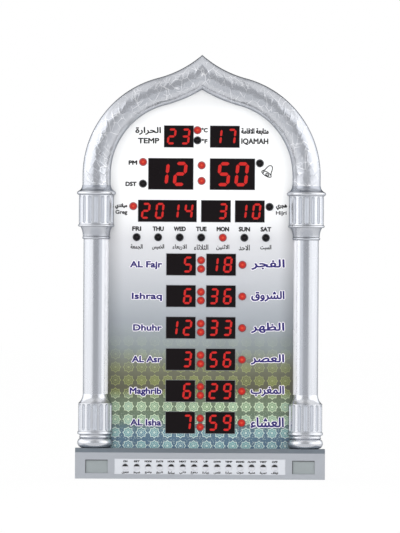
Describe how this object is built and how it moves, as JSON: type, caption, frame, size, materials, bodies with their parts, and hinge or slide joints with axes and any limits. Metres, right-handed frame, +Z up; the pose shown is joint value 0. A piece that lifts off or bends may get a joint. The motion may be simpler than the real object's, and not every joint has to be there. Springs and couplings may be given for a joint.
{
  "type": "azan clock",
  "caption": "Arched wall or shelf prayer-time clock: silver columns and ogee arch, printed panel with red seven-segment displays and lamps, row of round keys in the base bar.",
  "frame": {"origin": "middle of the base, under the centre of the box that holds the clock", "axes": "+Z up, the display faces -Y, +X to the reader's right"},
  "size_m": [0.324, 0.054, 0.5509],
  "materials": {
    "silver_casing": "satin silver paint",
    "silver_bar": "satin silver paint",
    "white_strip": "matt white",
    "grey_inset": "matt grey green",
    "printed_panel": "printed sheet",
    "display_black": "smoked window",
    "lamp_red": "clear red",
    "circuit_board": "solder mask",
    "black_plastic": "moulded",
    "screw_steel": "zinc plated",
    "spacer_brass": "turned",
    "cell_steel": "nickel plated",
    "speaker_steel": "pressed",
    "speaker_paper": "pulp",
    "key_grey": "matt",
    "cover_white": "moulded"
  },
  "bodies": {
    "root": {"arch_moulding": "silver_casing", "asr_display": "display_black", "base_bar": "silver_bar", "board_chips": "black_plastic", "board_screws": "screw_steel", "board_spacers": "spacer_brass", "clock_colon_leds": "lamp_red", "coin_cell": "cell_steel", "coin_cell_holder": "black_plastic", "countdown_display": "display_black", "day_display": "display_black", "dc_jack": "black_plastic", "dc_jack_nut": "screw_steel", "dhuhr_display": "display_black", "display_board": "circuit_board", "fajr_display": "display_black", "front_frame": "silver_casing", "front_panel": "printed_panel", "hour_display": "display_black", "inset_plates": "grey_inset", "isha_display": "display_black", "key_board": "circuit_board", "key_label_strip": "white_strip", "left_capital": "silver_casing", "left_column_base": "silver_casing", "left_shaft": "silver_casing", "maghrib_display": "display_black", "main_board": "circuit_board", "minute_display": "display_black", "mode_leds": "lamp_red", "month_display": "display_black", "prayer_colon_leds": "lamp_red", "prayer_marker_leds": "lamp_red", "rear_cover": "cover_white", "rear_cover_screws": "screw_steel", "right_capital": "silver_casing", "right_column_base": "silver_casing", "right_shaft": "silver_casing", "speaker_basket": "speaker_steel", "speaker_cone": "speaker_paper", "sunrise_display": "display_black", "tact_switches": "black_plastic", "temperature_display": "display_black", "weekday_leds": "lamp_red", "year_display": "display_black"},
    "key_01": {"key_01": "key_grey"},
    "key_02": {"key_02": "key_grey"},
    "key_03": {"key_03": "key_grey"},
    "key_04": {"key_04": "key_grey"},
    "key_05": {"key_05": "key_grey"},
    "key_06": {"key_06": "key_grey"},
    "key_07": {"key_07": "key_grey"},
    "key_08": {"key_08": "key_grey"},
    "key_09": {"key_09": "key_grey"},
    "key_10": {"key_10": "key_grey"},
    "key_11": {"key_11": "key_grey"},
    "key_12": {"key_12": "key_grey"},
    "key_13": {"key_13": "key_grey"},
    "key_14": {"key_14": "key_grey"}
  },
  "joints": [
    {"name": "key_01_press", "type": "slide", "parent": "root", "child": "key_01", "axis": [0, 1, 0], "range_m": [0, 0.0005], "stiffness_N_per_m": 1200},
    {"name": "key_02_press", "type": "slide", "parent": "root", "child": "key_02", "axis": [0, 1, 0], "range_m": [0, 0.0005], "stiffness_N_per_m": 1200},
    {"name": "key_03_press", "type": "slide", "parent": "root", "child": "key_03", "axis": [0, 1, 0], "range_m": [0, 0.0005], "stiffness_N_per_m": 1200},
    {"name": "key_04_press", "type": "slide", "parent": "root", "child": "key_04", "axis": [0, 1, 0], "range_m": [0, 0.0005], "stiffness_N_per_m": 1200},
    {"name": "key_05_press", "type": "slide", "parent": "root", "child": "key_05", "axis": [0, 1, 0], "range_m": [0, 0.0005], "stiffness_N_per_m": 1200},
    {"name": "key_06_press", "type": "slide", "parent": "root", "child": "key_06", "axis": [0, 1, 0], "range_m": [0, 0.0005], "stiffness_N_per_m": 1200},
    {"name": "key_07_press", "type": "slide", "parent": "root", "child": "key_07", "axis": [0, 1, 0], "range_m": [0, 0.0005], "stiffness_N_per_m": 1200},
    {"name": "key_08_press", "type": "slide", "parent": "root", "child": "key_08", "axis": [0, 1, 0], "range_m": [0, 0.0005], "stiffness_N_per_m": 1200},
    {"name": "key_09_press", "type": "slide", "parent": "root", "child": "key_09", "axis": [0, 1, 0], "range_m": [0, 0.0005], "stiffness_N_per_m": 1200},
    {"name": "key_10_press", "type": "slide", "parent": "root", "child": "key_10", "axis": [0, 1, 0], "range_m": [0, 0.0005], "stiffness_N_per_m": 1200},
    {"name": "key_11_press", "type": "slide", "parent": "root", "child": "key_11", "axis": [0, 1, 0], "range_m": [0, 0.0005], "stiffness_N_per_m": 1200},
    {"name": "key_12_press", "type": "slide", "parent": "root", "child": "key_12", "axis": [0, 1, 0], "range_m": [0, 0.0005], "stiffness_N_per_m": 1200},
    {"name": "key_13_press", "type": "slide", "parent": "root", "child": "key_13", "axis": [0, 1, 0], "range_m": [0, 0.0005], "stiffness_N_per_m": 1200},
    {"name": "key_14_press", "type": "slide", "parent": "root", "child": "key_14", "axis": [0, 1, 0], "range_m": [0, 0.0005], "stiffness_N_per_m": 1200}
  ]
}
